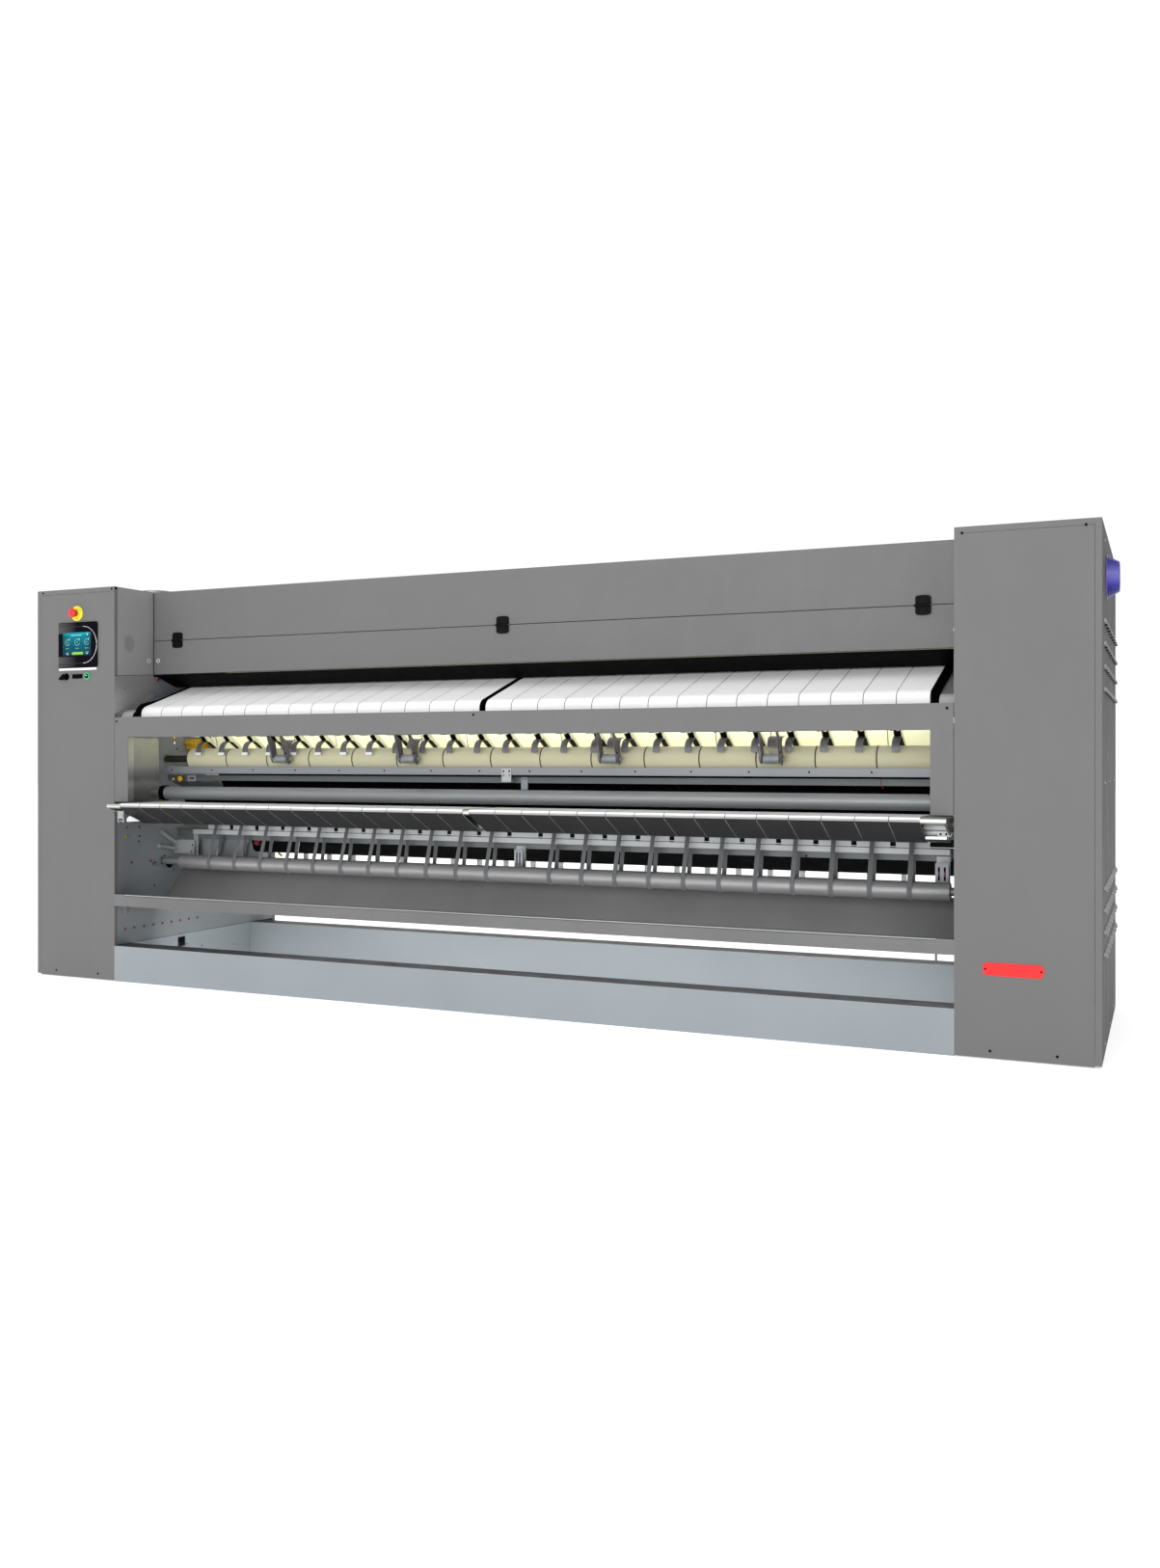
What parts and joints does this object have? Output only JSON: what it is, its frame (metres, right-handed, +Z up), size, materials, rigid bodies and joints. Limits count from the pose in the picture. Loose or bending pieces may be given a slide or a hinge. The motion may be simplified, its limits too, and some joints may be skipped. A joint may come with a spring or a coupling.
{
  "type": "flatwork ironer",
  "caption": "Industrial flatwork ironer: heated cylinder with return belts between two columns, sloping feed table, delivery belt table, folding rollers and collection tray.",
  "frame": {"origin": "middle of the object's footprint box, at floor level", "axes": "+X along the rollers to the operator's right, -Y towards the operator at the feed side, +Z up"},
  "size_m": [4.4422, 1.171, 1.746],
  "materials": {
    "cover_paint": "fine-textured satin",
    "frame_paint": "satin",
    "base_paint": "satin",
    "black_paint": "satin",
    "black_hinge": "matte",
    "stainless": "brushed",
    "zinc_steel": "dull",
    "polished_steel": "polished",
    "feed_belt": "woven, matt",
    "iron_belt": "felted, matt",
    "tape": "woven, matt",
    "roller_steel": "dull",
    "finger": "dull",
    "guide_rubber": "matt",
    "screen_case": "gloss",
    "red_plastic": "gloss",
    "green_plastic": "gloss",
    "black_plastic": "satin",
    "bezel": "satin",
    "outlet": "satin",
    "machine_paint": "painted",
    "screw": "dull"
  },
  "bodies": {
    "frame": {"base_beams": "base_paint", "side_plates": "frame_paint", "column_front_left": "cover_paint", "column_front_right": "cover_paint", "column_side_left": "cover_paint", "column_side_right": "cover_paint", "column_tops": "cover_paint", "column_backs": "cover_paint", "inner_covers": "cover_paint", "hood_top_panel": "cover_paint", "hood_front_panel": "cover_paint", "back_panel": "cover_paint", "hinge_upper_leaves": "black_hinge", "hinge_pins": "zinc_steel", "front_frame": "cover_paint", "feed_table_bed": "stainless", "feed_table_rails": "cover_paint", "feed_belts": "feed_belt", "ironing_belts": "iron_belt", "bearings": "zinc_steel", "drive_gearmotor": "machine_paint", "guide_brackets": "zinc_steel", "guard_bar": "stainless", "sensor_bar": "zinc_steel", "fold_beam": "stainless", "fold_plates": "zinc_steel", "fold_tapes": "tape", "fold_brackets": "zinc_steel", "transfer_bed": "black_paint", "transfer_uprights": "zinc_steel", "collection_tray": "cover_paint", "exhaust_collars": "outlet", "fan_housing": "zinc_steel", "control_cabinet": "cover_paint", "hmi_panel": "screen_case", "control_bezels": "bezel", "panel_screws": "screw"},
    "hood_flap": {"hood_flap": "cover_paint", "hinge_lower_leaves": "black_hinge"},
    "finger_guard": {"finger_guard": "black_paint"},
    "estop": {"estop_knob": "red_plastic"},
    "start_button": {"start_button": "green_plastic"},
    "selector": {"selector_knob": "black_plastic"},
    "cylinder": {"ironing_cylinder": "polished_steel", "heating_elements": "stainless"},
    "exit_roller": {"exit_roller": "roller_steel"},
    "nip_roller": {"nip_roller": "roller_steel"},
    "rear_lower_roller": {"rear_lower_roller": "roller_steel"},
    "rear_upper_roller": {"rear_upper_roller": "roller_steel"},
    "feed_nose_roller": {"feed_nose_roller": "roller_steel"},
    "feed_drive_roller": {"feed_drive_roller": "roller_steel"},
    "delivery_roller": {"delivery_roller": "polished_steel"},
    "fold_roller": {"fold_roller": "polished_steel"},
    "delivery_table": {"delivery_bed": "stainless", "delivery_belts": "feed_belt"},
    "table_drive_roller": {"table_drive_roller": "roller_steel"},
    "table_idler": {"table_idler_roller": "roller_steel"},
    "strippers": {"strippers": "finger"},
    "guide_rollers": {"guide_rollers": "guide_rubber"},
    "fan_wheel": {"fan_wheel": "zinc_steel"}
  },
  "joints": [
    {"name": "flap_hinge", "type": "hinge", "parent": "frame", "child": "hood_flap", "pos_m": [-0.0189, -0.2975, 1.482], "axis": [-1, 0, 0], "range_deg": [0, 105]},
    {"name": "guard_hinge", "type": "hinge", "parent": "frame", "child": "finger_guard", "pos_m": [-0.0189, -0.2845, 1.328], "axis": [1, 0, 0], "range_deg": [0, 8]},
    {"name": "estop_press", "type": "slide", "parent": "frame", "child": "estop", "axis": [0, 1, 0], "range_m": [0, 0.006]},
    {"name": "start_press", "type": "slide", "parent": "frame", "child": "start_button", "axis": [0, 1, 0], "range_m": [0, 0.003], "stiffness_N_per_m": 600, "springref_m": -0.002},
    {"name": "selector_turn", "type": "hinge", "parent": "frame", "child": "selector", "pos_m": [-2.0489, -0.5345, 1.317], "axis": [0, 1, 0], "range_deg": [-45, 45]},
    {"name": "cylinder_spin", "type": "hinge", "parent": "frame", "child": "cylinder", "pos_m": [-0.0189, 0.2005, 1.11], "axis": [-1, 0, 0], "continuous": true},
    {"name": "exit_spin", "type": "hinge", "parent": "frame", "child": "exit_roller", "pos_m": [-0.0189, -0.1945, 0.957], "axis": [-1, 0, 0], "continuous": true},
    {"name": "nip_spin", "type": "hinge", "parent": "frame", "child": "nip_roller", "pos_m": [-0.0189, -0.0131, 1.3091], "axis": [-1, 0, 0], "continuous": true},
    {"name": "rear_low_spin", "type": "hinge", "parent": "frame", "child": "rear_lower_roller", "pos_m": [-0.0189, 0.5055, 0.747], "axis": [-1, 0, 0], "continuous": true},
    {"name": "rear_high_spin", "type": "hinge", "parent": "frame", "child": "rear_upper_roller", "pos_m": [-0.0189, 0.5055, 1.395], "axis": [-1, 0, 0], "continuous": true},
    {"name": "feed_nose_spin", "type": "hinge", "parent": "frame", "child": "feed_nose_roller", "pos_m": [-0.0189, -0.4125, 1.147], "axis": [-1, 0, 0], "continuous": true},
    {"name": "feed_drive_spin", "type": "hinge", "parent": "frame", "child": "feed_drive_roller", "pos_m": [-0.0189, -0.09955, 1.25171], "axis": [-1, 0, 0], "continuous": true},
    {"name": "delivery_roller_spin", "type": "hinge", "parent": "frame", "child": "delivery_roller", "pos_m": [-0.0189, -0.2995, 0.806], "axis": [-1, 0, 0], "continuous": true},
    {"name": "fold_spin", "type": "hinge", "parent": "frame", "child": "fold_roller", "pos_m": [-0.0189, -0.2175, 0.497], "axis": [-1, 0, 0], "continuous": true},
    {"name": "table_tilt", "type": "hinge", "parent": "frame", "child": "delivery_table", "pos_m": [-0.0189, -0.3545, 0.738], "axis": [1, 0, 0], "range_deg": [0, 10]},
    {"name": "table_drive_spin", "type": "hinge", "parent": "delivery_table", "child": "table_drive_roller", "pos_m": [-0.0189, -0.4345, 0.712], "axis": [-1, 0, 0], "continuous": true},
    {"name": "table_idler_spin", "type": "hinge", "parent": "delivery_table", "child": "table_idler", "pos_m": [-0.0189, -0.3545, 0.738], "axis": [-1, 0, 0], "continuous": true},
    {"name": "stripper_lift", "type": "hinge", "parent": "frame", "child": "strippers", "pos_m": [-0.0189, -0.2775, 1.068], "axis": [1, 0, 0], "range_deg": [0, 6]},
    {"name": "guide_spin", "type": "hinge", "parent": "frame", "child": "guide_rollers", "pos_m": [-0.0189, -0.2675, 0.957], "axis": [-1, 0, 0], "continuous": true},
    {"name": "fan_spin", "type": "hinge", "parent": "frame", "child": "fan_wheel", "pos_m": [-0.0189, -0.1995, 1.556], "axis": [-1, 0, 0], "continuous": true}
  ],
  "couplings": [
    {"joint": "exit_spin", "follows": "cylinder_spin", "ratio": -5.7112},
    {"joint": "nip_spin", "follows": "cylinder_spin", "ratio": -6.6094},
    {"joint": "rear_low_spin", "follows": "cylinder_spin", "ratio": -6.6094},
    {"joint": "rear_high_spin", "follows": "cylinder_spin", "ratio": -6.6094},
    {"joint": "feed_nose_spin", "follows": "cylinder_spin", "ratio": 6.653},
    {"joint": "feed_drive_spin", "follows": "cylinder_spin", "ratio": 6.653},
    {"joint": "fold_spin", "follows": "cylinder_spin", "ratio": 7.6063},
    {"joint": "table_drive_spin", "follows": "cylinder_spin", "ratio": 7.5607},
    {"joint": "table_idler_spin", "follows": "cylinder_spin", "ratio": 8.8011}
  ]
}
